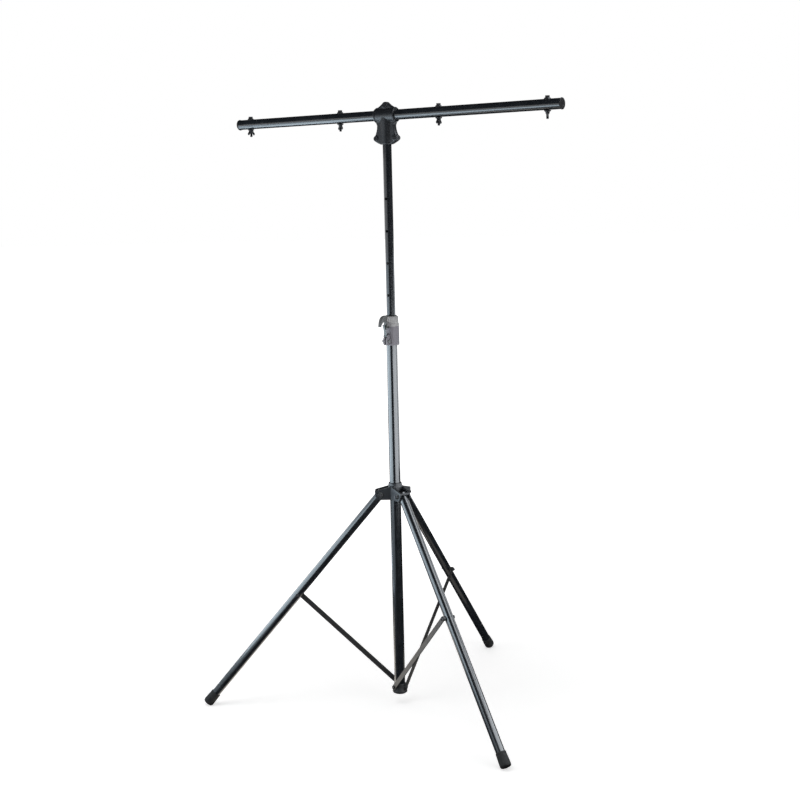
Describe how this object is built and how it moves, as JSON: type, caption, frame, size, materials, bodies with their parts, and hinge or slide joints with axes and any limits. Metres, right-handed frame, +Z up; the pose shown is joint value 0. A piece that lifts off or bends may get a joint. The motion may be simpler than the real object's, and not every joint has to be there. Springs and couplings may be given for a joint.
{
  "type": "lighting t bar stand",
  "caption": "Telescopic lighting stand on a folding tripod, with an indexing clamp on the mast and a round crossbar for hanging lamps from bolts with wing nuts.",
  "frame": {"origin": "middle of the flat face under the mast foot, on the axis of the mast", "axes": "+Z up along the mast, -X along the left leg as pictured, the other legs at 60 degrees each side of +X"},
  "size_m": [1.168, 1.1256, 1.937],
  "materials": {
    "black_tube": "black semi-gloss powder coat",
    "nylon": "black moulded nylon",
    "cast_grey": "light grey casting, tumbled",
    "zinc": "bright zinc plate",
    "cast_graphite": "graphite satin paint on a casting",
    "black_steel": "warm black satin paint on flat steel",
    "dark_bolt": "blackened steel",
    "rubber": "black rubber"
  },
  "bodies": {
    "mast": {"lower_mast": "black_tube", "mast_foot": "nylon", "brace_pivot_bolt_left": "dark_bolt", "brace_pivot_bolt_front": "dark_bolt", "brace_pivot_bolt_rear": "dark_bolt", "clamp_housing": "cast_grey", "mast_bush": "nylon", "pinch_bolt": "zinc", "lever_pin": "zinc", "spring_pin": "zinc"},
    "lever": {"lock_lever": "cast_grey"},
    "index_pin": {"index_pin": "zinc"},
    "leaf": {"leaf_spring": "zinc"},
    "hub": {"hub": "black_steel", "hub_bush": "nylon", "leg_pivot_bolt_left": "dark_bolt", "leg_pivot_bolt_front": "dark_bolt", "leg_pivot_bolt_rear": "dark_bolt"},
    "knob": {"hub_knob": "nylon", "knob_screw": "zinc"},
    "leg_left": {"leg_tube_left": "black_tube", "leg_cap_left": "nylon", "rubber_foot_left": "rubber", "brace_bolt_left": "dark_bolt", "brace_spacer_left": "nylon"},
    "leg_front": {"leg_tube_front": "black_tube", "leg_cap_front": "nylon", "rubber_foot_front": "rubber", "brace_bolt_front": "dark_bolt", "brace_spacer_front": "nylon"},
    "leg_rear": {"leg_tube_rear": "black_tube", "leg_cap_rear": "nylon", "rubber_foot_rear": "rubber", "brace_bolt_rear": "dark_bolt", "brace_spacer_rear": "nylon"},
    "brace_left": {"brace_left": "black_steel", "brace_nut_left": "dark_bolt"},
    "brace_front": {"brace_front": "black_steel", "brace_nut_front": "dark_bolt"},
    "brace_rear": {"brace_rear": "black_steel", "brace_nut_rear": "dark_bolt"},
    "upper_mast": {"upper_mast": "black_tube", "mast_guide": "nylon"},
    "head": {"head_front": "cast_graphite", "head_rear": "cast_graphite", "head_bolt_1": "dark_bolt", "head_bolt_2": "dark_bolt", "head_bolt_3": "dark_bolt", "crossbar": "black_tube", "bar_cap_left": "nylon", "bar_cap_right": "nylon", "lamp_bolt_1": "dark_bolt", "lamp_bolt_2": "dark_bolt", "lamp_bolt_3": "dark_bolt", "lamp_bolt_4": "dark_bolt"},
    "wing_nut_1": {"wing_nut_1": "dark_bolt"},
    "wing_nut_2": {"wing_nut_2": "dark_bolt"},
    "wing_nut_3": {"wing_nut_3": "dark_bolt"},
    "wing_nut_4": {"wing_nut_4": "dark_bolt"}
  },
  "joints": [
    {"name": "hub_slide", "type": "slide", "parent": "mast", "child": "hub", "axis": [0, 0, 1], "range_m": [0, 0.237]},
    {"name": "leg_left_fold", "type": "hinge", "parent": "hub", "child": "leg_left", "pos_m": [-0.048, 0, 0.667], "axis": [0, -1, 0], "range_deg": [0, 40.5]},
    {"name": "leg_front_fold", "type": "hinge", "parent": "hub", "child": "leg_front", "pos_m": [0.024, -0.04157, 0.667], "axis": [0.866, 0.5, 0], "range_deg": [0, 40.5]},
    {"name": "leg_rear_fold", "type": "hinge", "parent": "hub", "child": "leg_rear", "pos_m": [0.024, 0.04157, 0.667], "axis": [-0.866, 0.5, 0], "range_deg": [0, 40.5]},
    {"name": "brace_left_swing", "type": "hinge", "parent": "mast", "child": "brace_left", "pos_m": [0, 0, 0.021], "axis": [0, 1, 0], "range_deg": [0, 39.87]},
    {"name": "brace_front_swing", "type": "hinge", "parent": "mast", "child": "brace_front", "pos_m": [0, 0, 0.021], "axis": [-0.866, -0.5, 0], "range_deg": [0, 39.87]},
    {"name": "brace_rear_swing", "type": "hinge", "parent": "mast", "child": "brace_rear", "pos_m": [0, 0, 0.021], "axis": [0.866, -0.5, 0], "range_deg": [0, 39.87]},
    {"name": "mast_slide", "type": "slide", "parent": "mast", "child": "upper_mast", "axis": [0, 0, 1], "range_m": [-0.53, 0.4]},
    {"name": "head_turn", "type": "hinge", "parent": "upper_mast", "child": "head", "pos_m": [0, 0, 1.862], "axis": [0, 0, 1], "continuous": true},
    {"name": "wing_nut_1_turn", "type": "hinge", "parent": "head", "child": "wing_nut_1", "pos_m": [-0.45959, 0.29846, 1.836], "axis": [0, 0, 1], "continuous": true},
    {"name": "wing_nut_2_turn", "type": "hinge", "parent": "head", "child": "wing_nut_2", "pos_m": [-0.14928, 0.09695, 1.836], "axis": [0, 0, 1], "continuous": true},
    {"name": "wing_nut_3_turn", "type": "hinge", "parent": "head", "child": "wing_nut_3", "pos_m": [0.16103, -0.10457, 1.836], "axis": [0, 0, 1], "continuous": true},
    {"name": "wing_nut_4_turn", "type": "hinge", "parent": "head", "child": "wing_nut_4", "pos_m": [0.47133, -0.30609, 1.836], "axis": [0, 0, 1], "continuous": true},
    {"name": "lever_lift", "type": "hinge", "parent": "mast", "child": "lever", "pos_m": [-0.0158, -0.02432, 1.232], "axis": [-0.8387, 0.5446, 0], "range_deg": [0, 18], "stiffness_Nm_per_rad": 0.8, "springref_deg": -5.73},
    {"name": "pin_draw", "type": "slide", "parent": "mast", "child": "index_pin", "axis": [-0.5446, -0.8387, 0], "range_m": [0, 0.0084]},
    {"name": "leaf_bend", "type": "hinge", "parent": "mast", "child": "leaf", "pos_m": [-0.01688, -0.026, 1.178], "axis": [-0.8387, 0.5446, 0], "range_deg": [-16.8, 0]},
    {"name": "knob_turn", "type": "hinge", "parent": "hub", "child": "knob", "pos_m": [-0.018, 0.03118, 0.67], "axis": [-0.5, 0.866, 0], "continuous": true}
  ],
  "couplings": [
    {"joint": "leg_left_fold", "follows": "hub_slide", "rad_per_m": 2.9678},
    {"joint": "leg_front_fold", "follows": "hub_slide", "rad_per_m": 2.9678},
    {"joint": "leg_rear_fold", "follows": "hub_slide", "rad_per_m": 2.9678},
    {"joint": "brace_left_swing", "follows": "hub_slide", "rad_per_m": 2.9213},
    {"joint": "brace_front_swing", "follows": "hub_slide", "rad_per_m": 2.9213},
    {"joint": "brace_rear_swing", "follows": "hub_slide", "rad_per_m": 2.9213},
    {"joint": "pin_draw", "follows": "lever_lift", "m_per_rad": 0.026},
    {"joint": "leaf_bend", "follows": "lever_lift", "ratio": -0.91}
  ]
}
